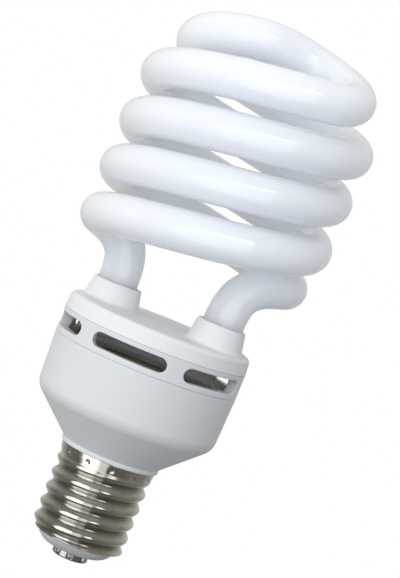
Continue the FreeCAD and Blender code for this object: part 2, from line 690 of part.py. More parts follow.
# choke: two E cores face to face on a bobbin that carries the winding
kx, ky = dim("choke_x"), dim("choke_y")
half_h, back = dim("choke_half"), dim("choke_back")
wide, thick, leg, mid = dim("choke_wide"), dim("choke_thick"), dim("choke_leg"), dim("choke_mid")
window = (wide - leg * 2 - mid) / 2
for label, z0, zw in (("choke_core_upper", b_low - half_h, b_low - half_h - 1.0),
                      ("choke_core_lower", b_low - half_h * 2, b_low - half_h * 2 + back)):
    core = box(label + "_block", thick, wide, half_h, kx, ky, z0)
    for k, sign in enumerate((-1, 1)):
        w = box(label + "_window%d" % k, thick + 2.0, window, half_h - back + 1.0, kx,
                ky + (mid / 2 + window / 2) * sign, zw)
        core = cut(label + "_cut%d" % k, core, w)
    node(core, label)
gap, bw = dim("bobbin_gap"), dim("bobbin_wall")
z_win = b_low - half_h * 2 + back
h_win = half_h * 2 - back * 2
sleeve = box("bobbin_sleeve", thick + gap * 2 + bw * 2, mid + gap * 2 + bw * 2, h_win - 0.1, kx, ky, z_win)
for k, z in enumerate((z_win, z_win + h_win - 0.1 - bw)):
    sleeve = fuse("bobbin_flanged%d" % k, sleeve,
                  box("bobbin_flange%d" % k, dim("bobbin_out_x") * 2, dim("bobbin_out_y") * 2, bw, kx, ky, z))
bobbin = cut("choke_bobbin", sleeve, box("bobbin_bore", thick + gap * 2, mid + gap * 2, h_win + 4.0, kx, ky, z_win - 2.0))
node(bobbin, "choke_bobbin")
wound = cut("choke_winding",
            box("winding_block", dim("wind_out_x") * 2, dim("wind_out_y") * 2, h_win - 0.1 - bw * 2, kx, ky, z_win + bw),
            box("winding_bore", thick + gap * 2 + bw * 2, mid + gap * 2 + bw * 2, h_win, kx, ky, z_win))
node(wound, "choke_winding")

# drive transformer: a ferrite ring with one long and two short windings
dx, dy = dim("drive_x"), dim("drive_y")
d_wire, d_high = dim("drive_wire"), dim("drive_high")
z_ring = b_low - d_wire - d_high
core = cut("drive_core", rod("drive_ring", dim("drive_out"), d_high, dx, dy, z_ring),
           rod("drive_hole", dim("drive_in"), d_high + 2.0, dx, dy, z_ring - 1.0))
node(core, "drive_core")


def winding(name, start, angle):
    o = rod(name + "_sector", dim("drive_out") + d_wire, d_high + d_wire * 2, dx, dy, z_ring - d_wire, angle)
    o.Placement.Rotation = FreeCAD.Rotation(V(0, 0, 1), start)
    o = cut(name + "_eye", o, rod(name + "_hole", dim("drive_in") - d_wire, d_high + 4.0, dx, dy, z_ring - 2.0))
    body_ring = cut(name + "_ring", rod(name + "_ring_out", dim("drive_out"), d_high, dx, dy, z_ring),
                    rod(name + "_ring_in", dim("drive_in"), d_high + 2.0, dx, dy, z_ring - 1.0))
    return cut(name, o, body_ring)


node(winding("drive_main_winding", 20, dim("drive_main")), "drive_main_winding")
pair = doc.addObject("Part::Compound", "drive_base_windings")
pair.Links = [winding("drive_base_a", 165, dim("drive_base")), winding("drive_base_b", 265, dim("drive_base"))]
node(pair, "drive_base_windings")

# line filter: a drum core with its winding
fh, ff = dim("drum_high"), dim("drum_flange")
body, rv = turned("filter_core", [
    (0, b_low - fh), (dim("drum_rad"), b_low - fh), (dim("drum_rad"), b_low - fh + ff), (dim("drum_mid"), b_low - fh + ff),
    (dim("drum_mid"), b_low - ff), (dim("drum_rad"), b_low - ff), (dim("drum_rad"), b_low), (0, b_low)])
place(body, dim("drum_x"), dim("drum_y"), 0)
node(body, "filter_core")
body, rv = turned("filter_winding", [
    (dim("drum_mid"), b_low - fh + ff), (dim("drum_wound"), b_low - fh + ff), (dim("drum_wound"), b_low - ff),
    (dim("drum_mid"), b_low - ff)])
place(body, dim("drum_x"), dim("drum_y"), 0)
node(body, "filter_winding")

# power transistors: moulded body, tab with its hole, three legs to the board
for side in ("left", "right"):
    label = "transistor_" + side
    tx, ty = dim("trans_%s_x" % side), dim("trans_%s_y" % side)
    z_body = b_low - dim("trans_lead") - dim("trans_high")
    o = box(label + "_case", dim("trans_wide"), dim("trans_thick"), dim("trans_high"), tx, ty, z_body)
    tab = box(label + "_plate", dim("trans_wide"), dim("trans_tab"), dim("trans_high") + dim("trans_tab_high"), tx,
              ty - dim("trans_thick") / 2 + dim("trans_tab") / 2, z_body - dim("trans_tab_high"))
    o = fuse(label + "_joined", o, tab)
    for k, shift in enumerate((-2.54, 0.0, 2.54)):
        o = fuse(label + "_leg%d" % k, o, box(label + "_pin%d" % k, dim("trans_pin"), 0.5, dim("trans_lead"),
                                              tx + shift, ty, b_low - dim("trans_lead")))
    hole = rod(label + "_hole", dim("trans_hole"), 12.0, tx, ty - 6.0, z_body - dim("trans_tab_high") / 2 - 0.4)
    hole.Placement.Rotation = FreeCAD.Rotation(V(1, 0, 0), -90)
    o = cut(label, o, hole)
    node(o, label)


def axial(label, rad, long, lead_long, x, y, turn):
    """A part with a lead at each end, lying on top of the board."""
    rad, long, lead_long = link(rad), link(long), link(lead_long)
    z = b_top + rad
    rot = FreeCAD.Rotation(V(0, 0, 1), turn).multiply(FreeCAD.Rotation(V(0, 1, 0), 90))
    away = FreeCAD.Rotation(V(0, 0, 1), turn).multVec(V(1, 0, 0))
    o = rod(label + "_case", rad, long, link(x) - long * (away.x / 2), link(y) - long * (away.y / 2), z)
    o.Placement.Rotation = rot
    w = rod(label + "_wire", dim("lead_rad"), lead_long, link(x) - lead_long * (away.x / 2),
            link(y) - lead_long * (away.y / 2), z)
    w.Placement.Rotation = rot
    o = fuse(label + "_leaded", o, w)
    for k, end in enumerate((-0.5, 0.5)):
        foot = rod(label + "_foot%d" % k, dim("lead_rad"), rad, link(x) + lead_long * (away.x * end),
                   link(y) + lead_long * (away.y * end), b_top)
        o = fuse(label + "_footed%d" % k, o, foot)
    return o


for k, (x, y, turn) in enumerate(((-14, -20.5, 90), (-9, -20.5, 90), (-4, -20.5, 90), (1, -20.5, 90)), start=1):
    node(axial("diode_%d" % k, dim("diode_rad"), dim("diode_long"), dim("lead_long"), x, y, turn), "diode_%d" % k)
node(axial("fuse_resistor", dim("resist_rad"), dim("resist_long"), dim("resist_lead"), -4, -12, 0), "fuse_resistor")
node(axial("start_resistor", dim("resist_rad"), dim("resist_long"), dim("resist_lead"), 2, -29, 0), "start_resistor")

big = box("resonant_block", dim("film_big_x"), dim("film_big_y"), dim("film_big_z"), 2.0, 24.0, b_low - dim("film_big_z"))
node(soften("resonant_capacitor", big, "film_round"), "resonant_capacitor")
small = box("coupling_block", dim("film_mid_y"), dim("film_mid_x"), dim("film_mid_z"), 25.0, -4.0, b_low - dim("film_mid_z"))
node(soften("coupling_capacitor", small, "film_round"), "coupling_capacitor")
small = box("filter_block", dim("film_mid_x"), dim("film_mid_y"), dim("film_mid_z"), -8.0, 15.2, b_low - dim("film_mid_z"))
node(soften("filter_capacitor", small, "film_round"), "filter_capacitor")

disc = rod("thermistor_disc", dim("ptc_rad"), dim("ptc_thick"), -14.0, -12.0, b_low - dim("ptc_rad"))
disc.Placement.Rotation = FreeCAD.Rotation(V(1, 0, 0), 90)
node(soften("start_thermistor", disc, "ptc_round"), "start_thermistor")

# four pins at the board's edge, two under each end of the tube
posts = []
POSTS = []
for n in (1, 2, 3, 4):
    side, sign = ("right", 1) if n < 3 else ("left", -1)
    px, py, high = dim("post_%d_x" % n), dim("post_%d_y" % n), dim("post_%s_high" % side)
    posts.append(box("post_%d" % n, dim("post_side"), dim("post_side"), high, px, py, b_top))
    POSTS.append((sign, -1 if n % 2 else 1, px.v, py.v, (b_top + high).v))
pins = doc.addObject("Part::Compound", "wire_posts")
pins.Links = posts
node(pins, "wire_posts")


def bent_wire(pts, radii):
    """Straight runs joined by tangent arcs."""
    parts, here = [], pts[0]
    for i in range(1, len(pts) - 1):
        b = pts[i]
        u, w = pts[i - 1] - b, pts[i + 1] - b
        u, w = u / u.Length, w / w.Length
        turn = math.pi - u.getAngle(w)
        r = radii[i - 1]
        t = r * math.tan(turn / 2)
        bis = u + w
        bis = bis / bis.Length
        m = b + bis * (r / math.cos(turn / 2) - r)
        parts.append(Part.LineSegment(here, b + u * t).toShape())
        parts.append(Part.Arc(b + u * t, m, b + w * t).toShape())
        here = b + w * t
    parts.append(Part.LineSegment(here, pts[-1]).toShape())
    return Part.Wire(parts)


def swept(label, rad, pts, radii):
    line = doc.addObject("Part::Feature", label + "_path")
    line.Shape = bent_wire(pts, radii)
    prof = doc.addObject("Part::Circle", label + "_section")
    bind(prof, "Radius", rad)
    d = pts[1] - pts[0]
    prof.Placement = FreeCAD.Placement(pts[0], FreeCAD.Rotation(V(0, 0, 1), d / d.Length))
    o = doc.addObject("Part::Sweep", label)
    o.Sections = [prof]
    o.Spine = (line, ["Edge%d" % (i + 1) for i in range(len(line.Shape.Edges))])
    o.Solid = True
    o.Frenet = False
    doc.recompute()
    want = line.Shape.Length * math.pi * link(rad).v ** 2
    if abs(o.Shape.Volume / want - 1) > 0.01:
        raise RuntimeError("volume of " + label)
    node(o, label)


for n, (sign, k, px, py, z_post) in enumerate(POSTS, start=1):
    lx = D["leg_right_x"] if sign > 0 else D["leg_left_x"]
    ly = -sign * D["leg_y"] + D["electrode_gap"] * 0.5 * k
    swept("electrode_lead_%d" % n, dim("electrode_rad"),
          [V(lx, ly, D["tube_low"]), V(lx, ly, D["tube_low"] - 1.8), V(px, py, z_post + 1.5), V(px, py, z_post)],
          [1.2, 1.2])

swept("live_wire", dim("wire_rad"),
      [V(0, 0, D["rivet_top"]), V(0, 0, 30.0), V(13.5, 4.5, 46.0), V(16.0, 5.0, 70.0), V(16.0, 5.0, D["board_low"])],
      [12.0, 12.0, 12.0])
swept("neutral_wire", dim("wire_rad"),
      [V(-12.175, 10.59, 33.0), V(-12.175, 10.59, 40.0), V(-8.0, 8.5, 56.0), V(-6.5, 9.0, 70.0), V(-6.5, 9.0, D["board_low"])],
      [10.0, 10.0, 10.0])

# ---------------------------------------------------------------- check and write

doc.recompute()
for o in doc.Objects:
    if "Invalid" in o.State or "Error" in o.State:
        raise RuntimeError("failed: %s %s" % (o.Name, o.State))
os.makedirs("parts", exist_ok=True)
seen = set()
for label, o in NODES:
    s = o.Shape
    if s.isNull() or not s.isValid() or not s.Solids or label in seen:
        raise RuntimeError("bad shape: " + label)
    seen.add(label)
    s.exportStep("parts/%s.step" % label)
print(len(NODES), "pieces written")
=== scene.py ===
import bmesh
import bpy
import math
import numpy as np
from mathutils import Matrix, Vector


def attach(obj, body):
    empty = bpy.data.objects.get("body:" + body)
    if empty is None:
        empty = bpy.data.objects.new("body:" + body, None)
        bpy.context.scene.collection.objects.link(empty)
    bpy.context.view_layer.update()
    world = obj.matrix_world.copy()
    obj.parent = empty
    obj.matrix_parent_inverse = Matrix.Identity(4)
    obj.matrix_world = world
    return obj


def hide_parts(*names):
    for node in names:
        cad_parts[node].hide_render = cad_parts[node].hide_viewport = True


# Compact fluorescent lamp: a coiled white glass tube on a vented housing with a
# rolled screw cap. Lengths in this file are millimetres until they reach a mesh.

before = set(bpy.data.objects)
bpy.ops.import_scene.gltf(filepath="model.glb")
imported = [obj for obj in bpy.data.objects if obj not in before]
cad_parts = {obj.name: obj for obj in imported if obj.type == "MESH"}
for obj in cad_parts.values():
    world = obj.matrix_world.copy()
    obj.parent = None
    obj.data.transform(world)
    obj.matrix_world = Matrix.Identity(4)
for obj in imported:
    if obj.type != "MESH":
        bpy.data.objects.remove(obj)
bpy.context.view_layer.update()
MM = 0.001
scene = bpy.context.scene


# ------------------------------------------------------------------ mesh helpers

def make(name, verts, faces, weighted=False):
    me = bpy.data.meshes.new(name)
    me.from_pydata([tuple(v) for v in (np.asarray(verts, dtype=float) * MM).tolist()], [], faces)
    me.validate()
    me.polygons.foreach_set("use_smooth", [True] * len(me.polygons))
    me.update()
    o = bpy.data.objects.new(name, me)
    bpy.context.collection.objects.link(o)
    if weighted:
        w = o.modifiers.new("normals", "WEIGHTED_NORMAL")
        w.mode = "FACE_AREA"
        w.weight = 50
    return o


def rounded(pts, steps=7, closed=True):
    """Corner points (radius, height, rounding) to a line with arcs at the corners."""
    out = []
    n = len(pts)
    for i in range(n):
        p = np.array(pts[i][:2], dtype=float)
        rad = pts[i][2] if len(pts[i]) > 2 else 0.0
        if rad <= 0 or (not closed and i in (0, n - 1)):
            out.append(tuple(p))
            continue
        a = np.array(pts[i - 1][:2], dtype=float) - p
        b = np.array(pts[(i + 1) % n][:2], dtype=float) - p
        la, lb = np.linalg.norm(a), np.linalg.norm(b)
        a, b = a / la, b / lb
        turn = math.pi - math.acos(max(-1, min(1, float(a @ b))))
        t = min(rad * math.tan(turn / 2), 0.48 * la, 0.48 * lb)
        rad = t / math.tan(turn / 2)
        bis = (a + b) / np.linalg.norm(a + b)
        c = p + bis * rad / math.cos(turn / 2)
        s, e = p + a * t - c, p + b * t - c
        m = max(2, steps if turn > 0.5 else steps // 2)
        sweep = math.acos(max(-1, min(1, float(s @ e) / rad / rad)))
        sign = 1.0 if s[0] * e[1] - s[1] * e[0] > 0 else -1.0
        for k in range(m + 1):
            g = sign * sweep * k / m
            out.append((c[0] + s[0] * math.cos(g) - s[1] * math.sin(g), c[1] + s[0] * math.sin(g) + s[1] * math.cos(g)))
    return out


def lathe(name, line, n=288, closed=True):
    """Turns a line of (radius, height) about Z; ends on the axis become single points."""
    verts, rows = [], []
    for r, z in line:
        if r < 1e-6:
            rows.append([len(verts)] * n)
            verts.append((0.0, 0.0, z))
        else:
            rows.append(list(range(len(verts), len(verts) + n)))
            verts += [(r * math.cos(2 * math.pi * k / n), r * math.sin(2 * math.pi * k / n), z) for k in range(n)]
    faces = []
    m = len(rows)
    for i in range(m if closed else m - 1):
        a, b = rows[i], rows[(i + 1) % m]
        for k in range(n):
            f = [a[k], a[(k + 1) % n], b[(k + 1) % n], b[k]]
            f = [v for j, v in enumerate(f) if v not in f[:j]]
            if len(f) > 2:
                faces.append(f)
    return make(name, verts, faces, weighted=True)


def wrap_grid(rows, closed_rows=True):
    """Faces of a grid of vertex numbers whose columns close on themselves."""
    faces = []
    m, n = rows.shape
    for i in range(m if closed_rows else m - 1):
        a, b = rows[i], rows[(i + 1) % m]
        for k in range(n):
            j = (k + 1) % n
            faces.append([int(a[k]), int(a[j]), int(b[j]), int(b[k])])
    return faces


# ------------------------------------------------------------------ materials

class Mat(object):
    """A principled material with helpers for its node tree."""

    def __init__(self, name):
        self.m = bpy.data.materials.new(name)
        self.m.use_nodes = True
        self.t = self.m.node_tree
        self.b = self.t.nodes["Principled BSDF"]
        self.at = self.t.nodes.new("ShaderNodeTexCoord").outputs["Object"]

    def set(self, **kw):
        for k, v in kw.items():
            self.b.inputs[k.replace("_", " ")].default_value = v
        return self

    def node(self, kind, **kw):
        n = self.t.nodes.new("ShaderNode" + kind)
        for k, v in kw.items():
            setattr(n, k, v)
        return n

    def link(self, a, b):
        self.t.links.new(a, b)

    def scaled(self, s):
        v = self.node("Mapping")
        v.inputs["Scale"].default_value = s
        self.link(self.at, v.inputs["Vector"])
        return v.outputs["Vector"]

    def noise(self, scale, detail=3.0, rough=0.55, stretch=None):
        n = self.node("TexNoise")
        n.inputs["Scale"].default_value = scale
        n.inputs["Detail"].default_value = detail
        n.inputs["Roughness"].default_value = rough
        self.link(self.at if stretch is None else self.scaled(stretch), n.inputs["Vector"])
        return n.outputs["Fac"]

    def ramp(self, value, stops):
        r = self.node("ValToRGB")
        e = r.color_ramp.elements
        while len(e) < len(stops):
            e.new(0.5)
        for el, (p, c) in zip(e, stops):
            el.position = p
            el.color = (c[0], c[1], c[2], 1.0) if isinstance(c, (tuple, list)) else (c, c, c, 1.0)
        self.link(value, r.inputs["Fac"])
        return r.outputs["Color"]

    def span(self, value, a, b, lo=0.0, hi=1.0):
        r = self.node("MapRange")
        for i, x in enumerate((a, b, lo, hi), start=1):
            r.inputs[i].default_value = x
        self.link(value, r.inputs[0])
        return r.outputs[0]

    def math(self, op, a, b=None):
        n = self.node("Math", operation=op)
        for i, x in enumerate((a, b)):
            if x is None:
                continue
            if isinstance(x, (int, float)):
                n.inputs[i].default_value = x
            else:
                self.link(x, n.inputs[i])
        return n.outputs[0]

    def mix(self, fac, a, b):
        n = self.node("Mix", data_type="RGBA")
        for i, x in ((0, fac), (6, a), (7, b)):
            if isinstance(x, (int, float)):
                n.inputs[i].default_value = x
            elif isinstance(x, tuple):
                n.inputs[i].default_value = (x[0], x[1], x[2], 1.0)
            else:
                self.link(x, n.inputs[i])
        return n.outputs[2]

    def height(self):
        s = self.node("SeparateXYZ")
        self.link(self.at, s.inputs[0])
        return s.outputs[2]

    def from_axis(self):
        flat = self.node("VectorMath", operation="MULTIPLY")
        flat.inputs[1].default_value = (1, 1, 0)
        self.link(self.at, flat.inputs[0])
        n = self.node("VectorMath", operation="LENGTH")
        self.link(flat.outputs[0], n.inputs[0])
        return n.outputs["Value"]

    def colour(self, socket):
        self.link(socket, self.b.inputs["Base Color"])

    def rough(self, socket):
        self.link(socket, self.b.inputs["Roughness"])

    def bump(self, height, strength, distance):
        n = self.node("Bump")
        n.inputs["Strength"].default_value = strength
        n.inputs["Distance"].default_value = distance
        self.link(height, n.inputs["Height"])
        self.link(n.outputs["Normal"], self.b.inputs["Normal"])


def glass_mat():
    """White coating seen through clear glass, with painted shade: a darker base colour low on each leg and bend, under
    the coil.
    """
    m = Mat("coated_glass")
    m.set(Coat_Weight=1.0, Coat_Roughness=0.015, Coat_IOR=1.5, IOR=1.45, Specular_IOR_Level=0.15)
    m.set(Subsurface_Weight=1.0, Subsurface_Radius=(1.0, 1.0, 1.0), Subsurface_Scale=0.03)
    cloud = m.noise(30.0, 2.0)
    white = m.ramp(cloud, [(0.3, (0.792, 0.826, 0.892)), (0.7, (0.807, 0.841, 0.902))])
    # painted shade: below the coil the base colour turns darker, down each leg and bend
    leg_shade = m.span(m.height(), 0.124, 0.140)
    m.colour(m.mix(leg_shade, (0.69, 0.715, 0.742), white))
    m.rough(m.span(m.noise(90.0), 0.3, 0.7, 0.30, 0.38))
    m.bump(m.noise(34.0, 2.0), 0.05, 0.0006)
    return m.m


def plastic_mat(name, pale, deep, rough, grain):
    m = Mat(name)
    m.set(IOR=1.5)
    m.colour(m.ramp(m.noise(26.0, 4.0), [(0.32, deep), (0.66, pale)]))
    m.rough(m.span(m.noise(140.0, 3.0), 0.3, 0.7, rough - 0.04, rough + 0.05))
    fine = m.noise(1500.0, 2.0)
    m.bump(fine, grain, 0.0003)
    return m.m


def metal_mat(name, bright, dark, rough_lo, rough_hi, root_shade=None):
    m = Mat(name)
    m.set(Metallic=1.0)
    mottle = m.ramp(m.noise(160.0, 4.0, 0.6), [(0.3, dark), (0.62, bright)])
    # painted shade: the base colour turns dark nearer the axis, in the thread roots and under the rolled end
    if root_shade:
        low = m.span(m.from_axis(), root_shade[0], root_shade[1])
        mottle = m.mix(low, root_shade[2], mottle)
    m.colour(mottle)
    m.rough(m.span(m.noise(300.0, 3.0), 0.3, 0.72, rough_lo, rough_hi))
    drawn = m.noise(420.0, 2.0, 0.5, (1, 1, 6))
    m.bump(drawn, 0.06, 0.0003)
    return m.m


def simple_mat(name, a, b, rough, scale=300.0, metallic=0.0, grain=0.15):
    m = Mat(name)
    m.set(Metallic=metallic)
    m.colour(m.ramp(m.noise(scale, 3.0), [(0.3, a), (0.7, b)]))
    m.rough(m.span(m.noise(scale * 1.7, 2.0), 0.3, 0.7, rough - 0.06, rough + 0.08))
    m.bump(m.noise(scale * 4, 2.0), grain, 0.0002)
    return m.m


GLASS = glass_mat()
HOUSING = plastic_mat("housing_white", (0.70, 0.715, 0.728), (0.678, 0.693, 0.706), 0.42, 0.05)
COVER = plastic_mat("cover_white", (0.795, 0.803, 0.803), (0.775, 0.785, 0.786), 0.5, 0.06)
# the last argument paints shade into the thread roots: a dark colour nearer the axis
CAP = metal_mat("cap_metal", (0.63, 0.61, 0.56), (0.53, 0.51, 0.455), 0.14, 0.24,
                (0.0175, 0.0188, (0.34, 0.32, 0.28)))
CONTACT = metal_mat("contact_metal", (0.45, 0.435, 0.41), (0.35, 0.335, 0.31), 0.22, 0.34)
INSULATOR = simple_mat("cap_insulator", (0.53, 0.535, 0.54), (0.57, 0.575, 0.58), 0.5, 120.0)
CEMENT = simple_mat("cement", (0.74, 0.72, 0.66), (0.80, 0.78, 0.72), 0.85, 600.0, grain=0.4)
BOARD = simple_mat("board", (0.30, 0.24, 0.13), (0.36, 0.29, 0.16), 0.5, 90.0)
FERRITE = simple_mat("ferrite", (0.045, 0.045, 0.05), (0.075, 0.075, 0.08), 0.6, 700.0, grain=0.35)
COPPER = simple_mat("copper_wire", (0.55, 0.22, 0.09), (0.68, 0.31, 0.14), 0.32, 900.0, metallic=1.0)
SLEEVE = simple_mat("can_sleeve", (0.02, 0.022, 0.03), (0.035, 0.04, 0.05), 0.3, 200.0)
BLACK = simple_mat("black_moulding", (0.02, 0.02, 0.02), (0.04, 0.04, 0.04), 0.5, 500.0)
FILM = simple_mat("film_dip", (0.40, 0.11, 0.045), (0.48, 0.15, 0.06), 0.28, 150.0)
RESIST = simple_mat("resistor_coat", (0.50, 0.43, 0.31), (0.58, 0.50, 0.38), 0.35, 400.0)
PTC = simple_mat("thermistor_coat", (0.13, 0.115, 0.10), (0.18, 0.16, 0.14), 0.6, 500.0)
TINNED = simple_mat("tinned_wire", (0.66, 0.63, 0.59), (0.76, 0.74, 0.70), 0.3, 900.0, metallic=1.0)
SLEEVED = simple_mat("lead_sleeve", (0.26, 0.245, 0.23), (0.33, 0.315, 0.30), 0.55, 700.0)
LIVE = simple_mat("live_sleeve", (0.48, 0.05, 0.035), (0.56, 0.07, 0.05), 0.4, 300.0)
NEUTRAL = simple_mat("neutral_sleeve", (0.05, 0.07, 0.09), (0.07, 0.09, 0.11), 0.4, 300.0)

NODE_MATS = {
    "center_contact": CONTACT, "cap_insulator": INSULATOR, "screw_shell": CAP, "lower_housing": HOUSING,
    "vent_ring": HOUSING, "upper_cover": COVER, "spiral_tube": GLASS, "tube_cement_right": CEMENT,
    "tube_cement_left": CEMENT, "circuit_board": BOARD, "choke_core_upper": FERRITE, "choke_core_lower": FERRITE,
    "drive_core": FERRITE, "filter_core": FERRITE, "choke_winding": COPPER, "drive_main_winding": COPPER,
    "drive_base_windings": COPPER, "filter_winding": COPPER, "smoothing_capacitor": SLEEVE, "choke_bobbin": BLACK,
    "transistor_left": BLACK, "transistor_right": BLACK, "diode_1": BLACK, "diode_2": BLACK, "diode_3": BLACK,
    "diode_4": BLACK, "resonant_capacitor": FILM, "coupling_capacitor": FILM, "filter_capacitor": FILM,
    "fuse_resistor": RESIST, "start_resistor": RESIST, "start_thermistor": PTC, "wire_posts": TINNED,
    "electrode_lead_1": SLEEVED, "electrode_lead_2": SLEEVED, "electrode_lead_3": SLEEVED, "electrode_lead_4": SLEEVED,
    "live_wire": LIVE, "neutral_wire": NEUTRAL}
for name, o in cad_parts.items():
    for s in o.material_slots:
        s.material = NODE_MATS[name]


def stand_for(o, node, mat):
    o.data.materials.append(mat)
    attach(o, "root")
    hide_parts(node)
    return o


# ------------------------------------------------------------------ glass tube

TUBE_R, COIL_R, LEAD, COIL_Z = 8.36, 41.5, 40.5, 131.4
COIL_END, COIL_RISE, TUBE_LOW = 668.5, 14.15, 97.2
COIL_LEAN, COIL_ASIDE = math.radians(1.49), -1.12
LEG_R, LEG_L, LEG_Y = 22.65, -22.95, 8.5
# the turns are not quite even: degrees round the coil, outwards by, upwards by
UNEVEN = {1: [(0, 0, 0), (180, 0, 0.45), (270, 0, 0.35), (360, 0.1, 0.3), (450, 0, 0.3), (540, -0.5, 0.4),
              (630, -0.2, 0.45), (668.5, 0, 0.3)],
          -1: [(0, 0.2, 0), (90, 0, -0.1), (180, 0, 0), (360, -0.25, 0.2), (540, 0.05, 0.15), (668.5, 0, 0.1)]}


def uneven(sign, t):
    g, rows = math.degrees(t), UNEVEN[sign]
    for (g0, r0, z0), (g1, r1, z1) in zip(rows[:-1], rows[1:]):
        if g <= g1:
            w = max(0.0, (g - g0) / (g1 - g0))
            w = w * w * (3 - 2 * w)
            return r0 + (r1 - r0) * w, z0 + (z1 - z0) * w
    return rows[-1][1:]


def leaned(p):
    """The coil stands a little out of line with the housing."""
    c, n = math.cos(COIL_LEAN), math.sin(COIL_LEAN)
    x = p[0] + COIL_ASIDE
    return np.array([x * c + p[2] * n, p[1], p[2] * c - x * n])


def side_points(sign, z, out, into, turn):
    """Points up one side: leg, bend, coil, and half of the bridge on top."""
    a, b = math.radians(turn), math.radians(COIL_END)

    def on_coil(t, r, h, ease=1.0):
        dr, dz = uneven(sign, t)
        r, h = r + dr * ease, h + dz * ease
        return leaned((sign * r * math.cos(t), sign * r * math.sin(t), h))

    joint = on_coil(a, COIL_R, COIL_Z + LEAD * a / 2 / math.pi)
    way = leaned((-sign * COIL_R * math.sin(a), sign * COIL_R * math.cos(a), LEAD / 2 / math.pi)) - leaned((0, 0, 0))
    foot = np.array([LEG_R if sign > 0 else LEG_L, -sign * LEG_Y, z])
    one, two = foot + (0, 0, out), joint - way * (into / np.linalg.norm(way))
    pts = [foot - (0, 0, 7.0), foot]
    for u in (0.17, 0.34, 0.5, 0.67, 0.84):
        v = 1 - u
        pts.append(foot * v ** 3 + one * (3 * u * v * v) + two * (3 * u * u * v) + joint * u ** 3)
    n = int(math.ceil((b - a) / math.radians(22)))
    for i in range(n + 1):
        t = a + (b - a) * i / n
        pts.append(on_coil(t, COIL_R, COIL_Z + LEAD * t / 2 / math.pi))
    z2 = COIL_Z + LEAD * b / 2 / math.pi
    slope, run = LEAD / (2 * math.pi * COIL_R), math.pi * COIL_R / 2
    for w in (0.2, 0.4, 0.6, 0.8):
        rise = w * w * (3 - 2 * w) * COIL_RISE + (w ** 3 - 2 * w * w + w) * slope * run
        pts.append(on_coil(b + math.pi / 2 * w, COIL_R * math.cos(math.pi / 2 * w), z2 + rise, 1 - w))
    return pts, leaned((0, 0, z2 + COIL_RISE))


def natural_spline(pts, count):
    p = np.array(pts)
    n = len(p)
    u = np.concatenate([[0], np.cumsum(np.sqrt(np.linalg.norm(np.diff(p, axis=0), axis=1)))])
    h = np.diff(u)
    a = np.eye(n)
    rhs = np.zeros((n, 3))
    for i in range(1, n - 1):
        a[i, i - 1], a[i, i], a[i, i + 1] = h[i - 1], 2 * (h[i - 1] + h[i]), h[i]
        rhs[i] = 6 * ((p[i + 1] - p[i]) / h[i] - (p[i] - p[i - 1]) / h[i - 1])
    mm = np.linalg.solve(a, rhs)
    t = np.linspace(0, u[-1], count)
    k = np.clip(np.searchsorted(u, t, side="right") - 1, 0, n - 2)
    hh = h[k][:, None]
    f, g = ((u[k + 1] - t) / h[k])[:, None], ((t - u[k]) / h[k])[:, None]
    return f * p[k] + g * p[k + 1] + ((f ** 3 - f) * mm[k] + (g ** 3 - g) * mm[k + 1]) * hh * hh / 6


def glass_tube():
    right, crown = side_points(1, 113.4, 21.9, 19.5, 24.6)
    left, crown = side_points(-1, 113.6, 19.0, 17.6, 17.4)
    c = natural_spline(right + [crown] + left[::-1], 9000)
    c = np.concatenate([[(LEG_R, -LEG_Y, TUBE_LOW)], c, [(LEG_L, LEG_Y, TUBE_LOW)]])
    s = np.concatenate([[0], np.cumsum(np.linalg.norm(np.diff(c, axis=0), axis=1))])
    n, seg = 1101, 64
    at = np.linspace(0, s[-1], n)
    c = np.stack([np.interp(at, s, c[:, k]) for k in range(3)], axis=1)
    d = np.gradient(c, axis=0)
    d[0], d[-1] = (0, 0, 1), (0, 0, -1)
    d /= np.linalg.norm(d, axis=1)[:, None]
    e = np.array([1.0, 0, 0])
    verts = []
    ang = np.arange(seg) * 2 * math.pi / seg
    for i in range(n):
        e = e - d[i] * (e @ d[i])
        e /= np.linalg.norm(e)
        f = np.cross(d[i], e)
        # drawn a little thinner in the bends and up the right-hand side
        r = TUBE_R - np.interp(at[i], [18, 32, 58, 100, 160, 550, 620, 1142, 1165, 1185],
                               [0.0, 0.16, 0.16, 0.06, 0.24, 0.24, 0.0, 0.0, 0.1, 0.1])
        verts.append(c[i] + r * (np.cos(ang)[:, None] * e + np.sin(ang)[:, None] * f))
    verts = np.concatenate(verts)
    rows = np.arange(n * seg).reshape(n, seg)
    faces = wrap_grid(rows, closed_rows=False)
    for row, flip in ((rows[0], True), (rows[-1], False)):
        centre = len(verts)
        verts = np.concatenate([verts, [verts[row].mean(axis=0)]])
        for k in range(seg):
            tri = [int(row[k]), int(row[(k + 1) % seg]), centre]
            faces.append(tri[::-1] if flip else tri)
    return make("glass_spiral", verts, faces)


glass = stand_for(glass_tube(), "spiral_tube", GLASS)


# ------------------------------------------------------------------ screw cap

PITCH, ROOT, CREST = 6.35, 17.65, 19.45
SHELL_LOW, SKIRT_TOP = 7.76, 44.1


def soft_max(a, b, k):
    h = np.clip(0.5 + 0.5 * (a - b) / k, 0, 1)
    return b + (a - b) * h + k * h * (1 - h)


def shell_radius(ang, z):
    """Radius of the rolled sheet: helical rounds, then the plain skirt above them."""
    phase = (z - 8.4) / PITCH - ang / (2 * math.pi)
    wave = 0.5 + 0.5 * np.cos(2 * math.pi * phase)
    r = ROOT + (CREST - ROOT) * wave ** 0.9
    skirt = np.interp(z, [36.4, 37.4, 38.3, 39.0, 39.7, 42.0, 44.1], [17.2, 17.5, 18.1, 18.6, 18.95, 19.6, 19.95])
    r = soft_max(r, skirt, 0.35)
    # the end is rolled in over the insulator
    t = np.clip((10.0 - z) / 2.24, 0, 1)
    low = 16.15 + 3.4 * np.sqrt(np.clip(1 - t ** 2.4, 0, 1))
    return np.where(z < 10.0, np.minimum(r, low), r)


